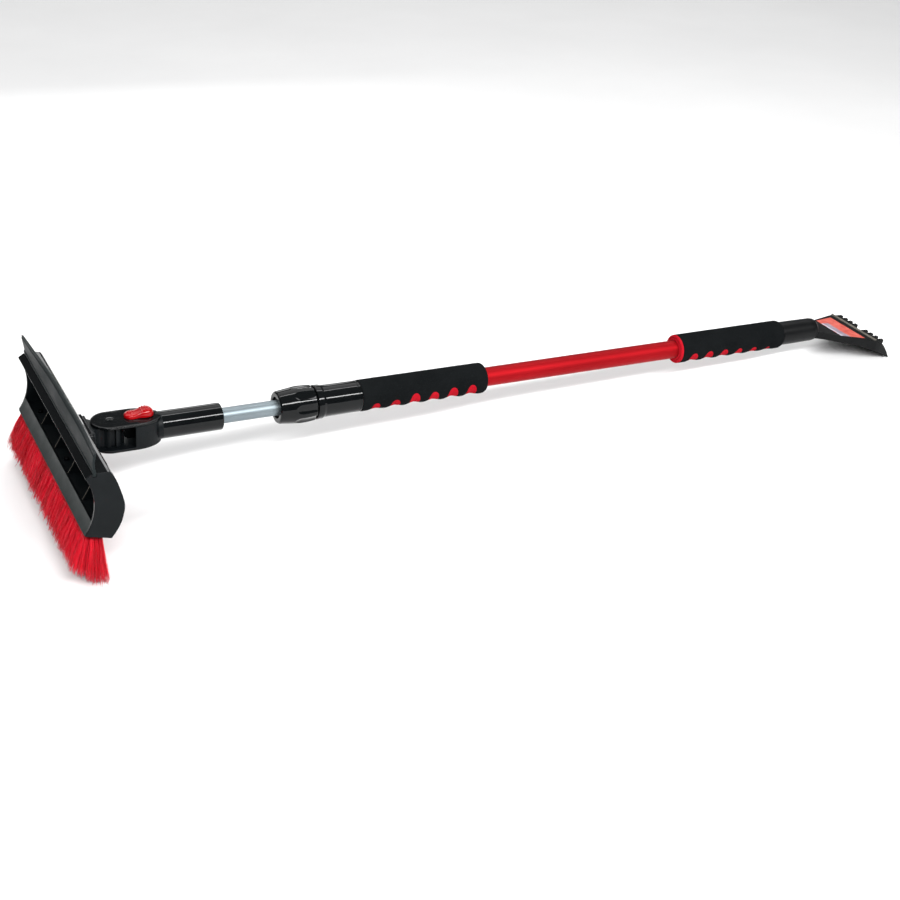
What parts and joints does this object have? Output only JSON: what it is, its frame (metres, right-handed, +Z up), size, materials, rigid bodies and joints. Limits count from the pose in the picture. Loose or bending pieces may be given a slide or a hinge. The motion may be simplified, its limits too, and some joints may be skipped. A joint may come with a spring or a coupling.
{
  "type": "snow brush scraper",
  "caption": "Extending two-section pole with a pivoting, lockable brush and squeegee head at one end and a toothed ice scraper at the other.",
  "frame": {"origin": "on the ground below the middle of the tool's box, as it lies on its bristle tips and its scraping edge", "axes": "+X along the ground towards the scraper, +Y along the brush head, +Z up. The pole is pitched by about 3 degrees, with the scraper end lower."},
  "size_m": [1.255, 0.3158, 0.1659],
  "materials": {
    "red_anodised": "anodised red, satin",
    "aluminium": "drawn aluminium, satin",
    "zinc_steel": "zinc plated",
    "spring_steel": "drawn spring wire",
    "gloss_black": "moulded, glossy",
    "matte_black": "moulded, fine texture",
    "nylon": "natural nylon",
    "red_plastic": "moulded, satin",
    "black_foam": "closed-cell foam, matt",
    "red_foam": "closed-cell foam, matt",
    "rubber": "smooth dark grey rubber",
    "bristle": "crimped polypropylene filament, red",
    "label": "printed film, no lettering"
  },
  "bodies": {
    "handle": {"outer_tube": "red_anodised", "lock_sleeve": "gloss_black", "clamp_collet": "nylon", "foam_grip_front": "black_foam", "foam_core_front": "red_foam", "foam_grip_rear": "black_foam", "foam_core_rear": "red_foam", "scraper": "matte_black", "scraper_label": "label", "scraper_screw": "zinc_steel"},
    "collar": {"twist_collar": "gloss_black"},
    "extension": {"inner_tube": "aluminium", "guide_bush": "nylon", "joint_housing": "matte_black", "joint_cover": "gloss_black", "pivot_bolt": "zinc_steel", "pivot_nut": "zinc_steel", "socket_screw": "zinc_steel", "pawl_spring": "spring_steel"},
    "lock": {"lock_button": "red_plastic", "lock_pawl": "zinc_steel"},
    "head": {"pivot_knuckle": "matte_black", "knuckle_screw_1": "zinc_steel", "knuckle_screw_2": "zinc_steel", "knuckle_screw_3": "zinc_steel", "knuckle_screw_4": "zinc_steel", "head_shell": "gloss_black", "bristle_strip": "matte_black", "strip_screw_1": "zinc_steel", "strip_screw_2": "zinc_steel", "strip_screw_3": "zinc_steel", "bristles_front": "bristle", "bristles_rear": "bristle", "squeegee_blade": "rubber"}
  },
  "joints": [
    {"name": "pole_extension", "type": "slide", "parent": "handle", "child": "extension", "axis": [-0.9987, 0, 0.0517], "range_m": [-0.06, 0.3]},
    {"name": "collar_twist", "type": "hinge", "parent": "handle", "child": "collar", "pos_m": [-0.30687, 0, 0.08692], "axis": [0.9987, 0, -0.0517], "range_deg": [0, 90]},
    {"name": "head_pivot", "type": "hinge", "parent": "extension", "child": "head", "pos_m": [-0.53756, 0, 0.09886], "axis": [0.0517, 0, 0.9987], "range_deg": [-90, 90]},
    {"name": "button_slide", "type": "slide", "parent": "extension", "child": "lock", "axis": [0.9987, 0, -0.0517], "range_m": [0, 0.005], "stiffness_N_per_m": 600, "springref_m": -0.004, "deforming": ["pawl_spring"]}
  ]
}
